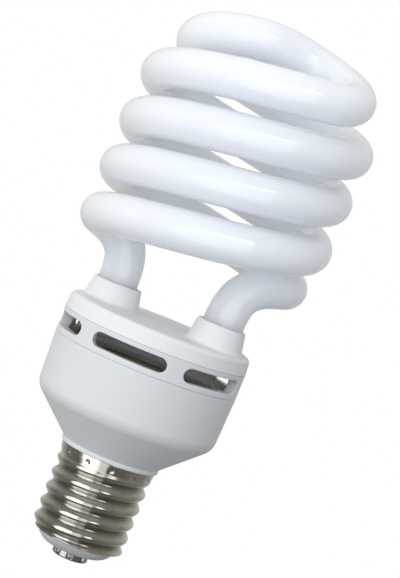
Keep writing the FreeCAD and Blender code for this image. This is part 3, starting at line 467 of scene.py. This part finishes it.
def screw_shell():
    n = 384
    ang = np.arange(n) * 2 * math.pi / n
    zs = np.concatenate([SHELL_LOW + np.array([0.0, 0.05, 0.12, 0.22]), np.arange(8.15, 43.8, 0.22), [43.85, 44.0, SKIRT_TOP]])
    rows = []
    for z in zs:
        r = shell_radius(ang, np.full(n, z))
        # punched dimples round the skirt hold the cap to the housing
        if 38.5 < z:
            for k in range(12):
                c = math.radians(-90 - 21 + 30 * k)
                off = (ang - c + math.pi) % (2 * math.pi) - math.pi
                q = np.sqrt((off * 20.0) ** 2 + (z - 41.5) ** 2)
                r = r - 0.55 * np.exp(-(q / 0.8) ** 2)
        r = np.minimum(r, 19.999)
        if z > 43.9:
            r = r - (0.05 if z < 44.05 else 0.16)
        rows.append(np.stack([r * np.cos(ang), r * np.sin(ang), np.full(n, z)], axis=1))
    for z in np.concatenate([[SKIRT_TOP, 43.9], np.arange(43.4, 8.6, -0.5), [8.4, 8.2]]):
        r = shell_radius(ang, np.full(n, z)) - 0.5
        rows.append(np.stack([r * np.cos(ang), r * np.sin(ang), np.full(n, z)], axis=1))
    verts = np.concatenate(rows)
    return make("cap_shell", verts, wrap_grid(np.arange(len(verts)).reshape(len(rows), n)))


shell = stand_for(screw_shell(), "screw_shell", CAP)

stand_for(lathe("cap_collar", rounded([
    (3.0, 2.9), (7.9, 2.9), (8.6, 2.95, 0.5), (13.1, 4.0, 5.0), (15.5, 6.2, 3.0), (16.05, 7.9, 0.5), (16.05, 10.5, 0.4),
    (11.0, 14.0, 0.5), (3.0, 14.0)])), "cap_insulator", INSULATOR)


def contact():
    """A pressed disc with a ring of small recesses in its rim."""
    n = 320
    ang = np.arange(n) * 2 * math.pi / n
    line = rounded([(0.0, 0.0), (7.5, 0.0, 0.75), (7.5, 2.9, 0.2), (3.0, 2.9), (3.0, 9.0, 0.2), (0.0, 9.0)], 6, closed=False)
    fine = []
    for (r0, z0), (r1, z1) in zip(line[:-1], line[1:]):
        m = 14 if abs(r0 - 7.5) < 1e-6 and abs(r1 - 7.5) < 1e-6 else 1
        fine += [(r0 + (r1 - r0) * k / m, z0 + (z1 - z0) * k / m) for k in range(m)]
    fine.append(line[-1])
    off = np.abs((ang - math.radians(-90) + math.pi / 8) % (math.pi / 4) - math.pi / 8) * 7.5
    side = np.clip((1.22 - off) / 0.16, 0, 1)
    verts, rows = [], []
    for r, z in fine:
        if r < 1e-6:
            rows.append([len(verts)] * n)
            verts.append((0, 0, z))
            continue
        up = np.clip((1.0 - abs(z - 1.6) / 0.9) * 6, 0, 1)
        rr = np.full(n, r)
        if r > 6.5:
            rr = rr - 1.3 * side * up
        rows.append(list(range(len(verts), len(verts) + n)))
        verts += [(a * math.cos(t), a * math.sin(t), z) for a, t in zip(rr, ang)]
    faces = []
    for a, b in zip(rows[:-1], rows[1:]):
        for k in range(n):
            f = [a[k], a[(k + 1) % n], b[(k + 1) % n], b[k]]
            f = [v for j, v in enumerate(f) if v not in f[:j]]
            if len(f) > 2:
                faces.append(f)
    return make("end_contact", verts, faces, weighted=True)


tip = stand_for(contact(), "center_contact", CONTACT)


# ------------------------------------------------------------------ housing

SEAM_LOW, SEAM_HIGH = 84.2, 94.4

stand_for(lathe("housing_lower", rounded([
    (17.0, 40.6, 0.2), (18.3, 40.6, 0.2), (18.3, 44.1), (20.65, 44.1, 0.4), (20.65, 45.2, 0.3), (20.25, 45.75, 0.4),
    (37.65, 61.8, 8.0), (38.5, SEAM_LOW - 0.25, 0.18), (38.2, SEAM_LOW, 0.08), (36.3, SEAM_LOW, 0.1), (36.1, 79.0),
    (33.0, 79.0, 0.1), (33.0, 77.6, 0.2), (35.55, 74.4, 1.0), (35.25, 64.2, 2.0), (33.45, 61.2, 2.0), (17.0, 46.2, 0.4)],
    9), n=320), "lower_housing", HOUSING)


def vent_ring():
    """The slotted ring: a patch of faces round each slot, a vee along each seam, and a short sleeve below."""
    half_h, long, zc = 2.95, 31.2, (SEAM_LOW + SEAM_HIGH) / 2 + 0.25
    straight = long / 2 - half_h
    in_r, vee, rim = 34.0, 0.27, 0.38
    around = 4 * 32
    perimeter = 4 * straight + 2 * math.pi * half_h
    up, down = SEAM_HIGH - vee - zc, zc - SEAM_LOW - vee

    def outer_r(dz):
        return 38.55 + 0.0098 * dz

    def slot_at(q, grow):
        """Point on the outline at a share of its length; grow moves it outwards."""
        hh = half_h + grow
        d = (q % 1.0) * perimeter
        quarter = math.pi * half_h / 2
        if d < quarter:
            g = d / half_h
            return straight + hh * math.cos(g), hh * math.sin(g)
        d -= quarter
        if d < 2 * straight:
            return straight - d, hh
        d -= 2 * straight
        if d < 2 * quarter:
            g = math.pi / 2 + d / half_h
            return -straight + hh * math.cos(g), hh * math.sin(g)
        d -= 2 * quarter
        if d < 2 * straight:
            return -straight + d, -hh
        d -= 2 * straight
        g = -math.pi / 2 + d / half_h
        return straight + hh * math.cos(g), hh * math.sin(g)

    verts, faces = [], []
    centres = [-161.2 + 59.2 * k for k in range(3)] + [18.8 + 59.2 * k for k in range(3)]
    for i, c in enumerate(centres):
        prev = centres[i - 1] - (360 if i == 0 else 0)
        nxt = centres[(i + 1) % 6] + (360 if i == 5 else 0)
        ends = (math.radians(c - prev) / 2, math.radians(nxt - c) / 2)
        s0 = math.asin(straight / 38.55)
        # frame of the patch, walked with as many points as the slot
        frame_pts = []
        for k in range(around):
            x, z = slot_at(k / around, 0.0)
            side = 1 if x > 0 else -1
            top = up if z > 0 else down
            if abs(x) <= straight + 1e-9:
                frame_pts.append((math.asin(x / 38.55), math.copysign(top, z)))
                continue
            g = math.atan2(z, abs(x) - straight)
            wide = (ends[1 if side > 0 else 0] - s0) * 38.55
            if abs(math.tan(g)) * wide <= top:
                px, pz = wide, wide * math.tan(g)
            else:
                px, pz = top / abs(math.tan(g)), math.copysign(top, z)
            frame_pts.append((side * (s0 + px / 38.55), pz))
        for side, end in ((1, ends[1]), (-1, ends[0])):
            for z in (up, -down):
                best = min(range(around), key=lambda k: ((frame_pts[k][0] - side * end) * 38.55) ** 2
                           + (frame_pts[k][1] - z) ** 2)
                frame_pts[best] = (side * end, z)
        base = math.radians(c)

        def put(turn, dz, r):
            verts.append((r * math.cos(base + turn), r * math.sin(base + turn), zc + dz))
            return len(verts) - 1

        loops = []
        # outside face, from the frame to the slot
        for f in (0.0, 0.12, 0.25, 0.4, 0.55, 0.7, 0.84, 0.94):
            row = []
            for k in range(around):
                x, z = slot_at(k / around, rim)
                fs, fz = frame_pts[k]
                t = math.asin(x / 38.55)
                pz = fz + (z - fz) * f
                row.append(put(fs + (t - fs) * f, pz, outer_r(pz)))
            loops.append(row)
        # rounded rim of the slot, then its wall
        for j in range(7):
            g = math.pi / 2 * j / 6
            row = []
            for k in range(around):
                x, z = slot_at(k / around, rim * (1 - math.sin(g)))
                r = outer_r(z) - rim * (1 - math.cos(g))
                row.append(put(math.asin(x / r), z, r))
            loops.append(row)
        for r in (37.4, 36.4, 35.4, 34.5, in_r):
            row = []
            for k in range(around):
                x, z = slot_at(k / around, 0.0)
                row.append(put(math.asin(x / r), z, r))
            loops.append(row)
        # inside face, back to the frame
        for f in (0.35, 0.7, 1.0):
            row = []
            for k in range(around):
                x, z = slot_at(k / around, 0.0)
                t = math.asin(x / in_r)
                fs, fz = frame_pts[k]
                row.append(put(t + (fs - t) * f, z + (fz - z) * f, in_r))
            loops.append(row)
        for a, b in zip(loops[:-1], loops[1:]):
            for k in range(around):
                j = (k + 1) % around
                faces.append([a[k], b[k], b[j], a[j]])
        # seams: the vee, the seat and the way back to the bore
        for z, line in ((up, [(outer_r(up) - vee, up + vee), (in_r, up + vee)]),
                        (-down, [(outer_r(-down) - vee, -down - vee), (36.25, -down - vee),
                                 (36.2, -down - vee - 2.6), (33.4, -down - vee - 2.6), (33.4, -down - vee),
                                 (in_r, -down - vee + 0.6)])):
            for k in range(around):
                j = (k + 1) % around
                if frame_pts[k][1] != z or frame_pts[j][1] != z:
                    continue
                strip = [(loops[0][k], loops[0][j])]
                for r, dz in line:
                    strip.append((put(frame_pts[k][0], dz, r), put(frame_pts[j][0], dz, r)))
                strip.append((loops[-1][k], loops[-1][j]))
                for (a, b), (d, e) in zip(strip[:-1], strip[1:]):
                    faces.append([a, b, e, d])
    o = make("vented_ring", verts, faces)
    bm = bmesh.new()
    bm.from_mesh(o.data)
    bmesh.ops.remove_doubles(bm, verts=bm.verts, dist=0.00002)
    bmesh.ops.recalc_face_normals(bm, faces=bm.faces)
    print("vent ring open edges", len([e for e in bm.edges if len(e.link_faces) != 2]), "faces", len(bm.faces))
    bm.to_mesh(o.data)
    bm.free()
    o.data.polygons.foreach_set("use_smooth", [True] * len(o.data.polygons))
    w = o.modifiers.new("normals", "WEIGHTED_NORMAL")
    w.mode, w.weight = "FACE_AREA", 50
    return o


stand_for(vent_ring(), "vent_ring", HOUSING)

COVER_TOP, COVER_EDGE, COVER_LOW, COVER_R = 101.2, 38.0, 38.6, 2.4
stand_for(lathe("cover_disc", rounded([
    (38.3, SEAM_HIGH, 0.06), (COVER_LOW, SEAM_HIGH + 0.26, 0.18), (COVER_EDGE, COVER_TOP, COVER_R), (0.0, COVER_TOP),
    (0.0, COVER_TOP - 2.2), (35.2, COVER_TOP - 2.2, 0.5), (35.2, SEAM_HIGH + 0.6, 0.2), (33.2, SEAM_HIGH, 0.2),
    (33.2, SEAM_HIGH - 1.5, 0.2), (33.9, SEAM_HIGH - 1.5, 0.2), (33.9, SEAM_HIGH)], 10), n=320), "upper_cover", COVER)


def cover_limit(z):
    """Radius of the cover's outside at a height, with its rounded edge."""
    r = COVER_LOW + (COVER_EDGE - COVER_LOW) * (z - SEAM_HIGH) / (COVER_TOP - SEAM_HIGH)
    d = z - (COVER_TOP - COVER_R)
    if d > 0:
        r -= COVER_R - math.sqrt(max(0.0, COVER_R ** 2 - min(d, COVER_R) ** 2))
    return r


def collar(name, leg, x, y, high):
    """A conical socket round a leg: a small fillet at its foot, a rounded mouth, and the bore."""
    n = 160

    def wall(h):
        return 12.0 - 2.0 * (h + 1.7) / (high + 1.7)

    fil, edge = 1.3, 0.65
    line = [(-2.2, 13.0, x)]
    for k in range(7):
        g = math.pi / 2 * k / 6
        h = fil * (1 - math.cos(g))
        line.append((h, wall(h) + fil * (1 - math.sin(g)), x))
    for k in range(1, 5):
        h = fil + (high - edge - fil) * k / 5
        line.append((h, wall(h), x))
    for k in range(7):
        g = math.pi / 2 * k / 6
        line.append((high - edge + edge * math.sin(g), wall(high - edge) - edge * (1 - math.cos(g)), x))
    line += [(high, 8.9, leg), (high - 0.08, 8.74, leg), (high - 0.3, 8.68, leg), (high - 3, 8.66, leg), (-2.2, 8.66, leg)]
    rows = []
    for h, r, cx in line:
        z = COVER_TOP + h
        row = []
        for i in range(n):
            a = 2 * math.pi * i / n
            px, py = cx + r * math.cos(a), y + r * math.sin(a)
            far = math.hypot(px, py)
            lim = (cover_limit(z) if z <= COVER_TOP else COVER_EDGE - COVER_R + 0.6 - 0.05 * h) - 0.03
            if far > lim and cx == x:
                px, py = px * lim / far, py * lim / far
            row.append((px, py, z))
        rows.append(row)
    verts = np.concatenate([np.array(r) for r in rows])
    return make(name, verts, wrap_grid(np.arange(len(verts)).reshape(len(rows), n)), weighted=True)


for name, leg, x, y, high in (("collar_right", LEG_R, 22.2, -LEG_Y, 9.2), ("collar_left", LEG_L, -22.45, LEG_Y, 8.2)):
    stand_for(collar(name, leg, x, y, high), "upper_cover", COVER)


# ------------------------------------------------------------------ stage, light, camera

AIM = Vector((0, 0, 0.13))


def panel(name, az, el, away, width, height, power, colour=(0.905, 0.95, 1.0), glossy=True, diffuse=True):
    """A lamp panel, placed by its direction and distance from the middle of the lamp."""
    d = bpy.data.lights.new(name, "AREA")
    d.shape = "RECTANGLE"
    d.size, d.size_y = width, height
    d.energy = power
    d.color = colour
    o = bpy.data.objects.new(name, d)
    a, e = math.radians(az), math.radians(el)
    way = Vector((math.cos(a) * math.cos(e), math.sin(a) * math.cos(e), math.sin(e)))
    o.location = AIM + way * away
    o.rotation_mode = "QUATERNION"
    o.rotation_quaternion = (-way).to_track_quat("-Z", "Y")
    bpy.context.collection.objects.link(o)
    o.visible_camera = False
    o.visible_glossy = glossy
    o.visible_diffuse = diffuse
    return o


# wide soft panels give the body of the light; a small lamp is what the gloss shows
panel("soft_left", -124, 18, 1.3, 1.0, 0.8, 6.0, glossy=False)
panel("soft_front", -78, 4, 1.6, 0.8, 0.6, 7.4, glossy=False)
panel("soft_low", -84, -35, 1.3, 1.0, 0.8, 1.9, glossy=False)
panel("small_lamp", -116, 3, 1.3, 0.20, 0.28, 0.6)
panel("soft_right", -55, 21, 1.3, 1.8, 0.78, 1.8, glossy=False)


def only_for(lamps, name, *objects):
    """Keeps lamps to some of the pieces."""
    c = bpy.data.collections.new(name)
    for o in objects:
        c.objects.link(o)
    for lamp in lamps:
        lamp.light_linking.receiver_collection = c


# cards close to the metal; a window with a bright head for the glass, and fills for its coating, which takes
# light through from all round
only_for([panel("tall_card", -128, -6, 0.52, 0.42, 1.0, 2.8, colour=(0.95, 0.98, 1.0), diffuse=False),
          panel("side_card", -92, -8, 0.52, 0.18, 1.0, 0.55, colour=(0.95, 0.98, 1.0), diffuse=False),
          panel("streak", -66, 14, 1.3, 0.40, 0.85, 2.2, diffuse=False)], "metal", shell, tip)
only_for([panel("window", -80, -2, 1.3, 1.69, 1.8, 15.0, diffuse=False),
          panel("window_head", -65, 34, 1.3, 0.80, 0.09, 4.0, diffuse=False),
          panel("glass_low", -80, -32, 1.3, 1.3, 0.9, 0.9, colour=(0.78, 0.85, 1.0), glossy=False),
          panel("glass_right", -34, -14, 1.3, 1.0, 1.0, 2.0, colour=(0.76, 0.84, 1.0), glossy=False)], "coating", glass)

world = bpy.data.worlds.new("studio")
scene.world = world
world.use_nodes = True
wt = world.node_tree
wt.nodes.clear()
tc = wt.nodes.new("ShaderNodeTexCoord")


def sky(level, slope, colour):
    """Light that changes evenly across the sky."""
    dot = wt.nodes.new("ShaderNodeVectorMath")
    dot.operation = "DOT_PRODUCT"
    dot.inputs[1].default_value = slope
    wt.links.new(tc.outputs["Generated"], dot.inputs[0])
    add = wt.nodes.new("ShaderNodeMath")
    add.operation = "ADD"
    add.use_clamp = True
    add.inputs[1].default_value = level
    wt.links.new(dot.outputs["Value"], add.inputs[0])
    bg = wt.nodes.new("ShaderNodeBackground")
    bg.inputs["Color"].default_value = (colour[0], colour[1], colour[2], 1)
    wt.links.new(add.outputs[0], bg.inputs["Strength"])
    return bg.outputs[0]


# the room: pale for the body of the light; for the gloss it is dark in front and pale behind
pick = wt.nodes.new("ShaderNodeMixShader")
wt.links.new(wt.nodes.new("ShaderNodeLightPath").outputs["Is Glossy Ray"], pick.inputs[0])
wt.links.new(sky(0.60, (-0.36, 0.33, 0.40), (1.0, 0.998, 0.985)), pick.inputs[1])
behind = wt.nodes.new("ShaderNodeAddShader")
wt.links.new(sky(0.23, (0.03, 0.10, 0.08), (1.0, 0.98, 0.87)), behind.inputs[0])
wt.links.new(sky(-0.2, (0.0, 0.56, 0.1), (0.94, 0.97, 1.0)), behind.inputs[1])
wt.links.new(behind.outputs[0], pick.inputs[2])
wt.links.new(pick.outputs[0], wt.nodes.new("ShaderNodeOutputWorld").inputs[0])


def white_stage(name, verts, faces):
    me = bpy.data.meshes.new(name)
    me.from_pydata(verts, [], faces)
    o = bpy.data.objects.new(name, me)
    bpy.context.collection.objects.link(o)
    m = bpy.data.materials.new(name)
    m.use_nodes = True
    t = m.node_tree
    t.nodes.clear()
    e = t.nodes.new("ShaderNodeEmission")
    e.inputs["Color"].default_value = (1, 1, 1, 1)
    e.inputs["Strength"].default_value = 1.0
    out = t.nodes.new("ShaderNodeOutputMaterial")
    t.links.new(e.outputs[0], out.inputs[0])
    me.materials.append(m)
    for ray in ("visible_diffuse", "visible_glossy", "visible_transmission", "visible_volume_scatter", "visible_shadow"):
        setattr(o, ray, False)
    return o


# a pale floor well below the lamp, and a plain wall all round it
F, H = 6.0, 8.0
white_stage("floor", [(-F, -F, -0.4), (F, -F, -0.4), (F, F, -0.4), (-F, F, -0.4)], [[0, 1, 2, 3]])
ring = [(F * math.cos(2 * math.pi * k / 48), F * math.sin(2 * math.pi * k / 48)) for k in range(48)]
white_stage("wall", [(x, y, -0.5) for x, y in ring] + [(x, y, H) for x, y in ring] + [(0, 0, H)],
            [[k, (k + 1) % 48, 48 + (k + 1) % 48, 48 + k] for k in range(48)]
            + [[48 + k, 48 + (k + 1) % 48, 96] for k in range(48)])

cam = bpy.data.cameras.new("camera")
co = bpy.data.objects.new("camera", cam)
bpy.context.collection.objects.link(co)
scene.camera = co
cam.sensor_fit = "HORIZONTAL"
cam.sensor_width = 36.0
cam.lens = 36.0 * 1933.6996 / 400.0
cam.clip_start, cam.clip_end = 0.05, 50.0
yaw, pitch, roll = 0.009012, -0.065048, 0.406579
fwd = Vector((math.sin(yaw) * math.cos(pitch), math.cos(yaw) * math.cos(pitch), math.sin(pitch)))
r0 = fwd.cross(Vector((0, 0, 1))).normalized()
u0 = r0.cross(fwd)
right = r0 * math.cos(roll) + u0 * math.sin(roll)
up = u0 * math.cos(roll) - r0 * math.sin(roll)
m3 = Matrix((right, up, -fwd)).transposed()
lean = Matrix.Rotation(COIL_LEAN, 4, "Y") @ Matrix.Translation((COIL_ASIDE * MM, 0, 0))
co.matrix_world = lean @ Matrix.Translation((0, -0.769163, 0.170057)) @ m3.to_4x4()

scene.view_settings.view_transform = "Standard"
scene.view_settings.look = "None"
scene.view_settings.exposure = 0.0
scene.view_settings.gamma = 1.0
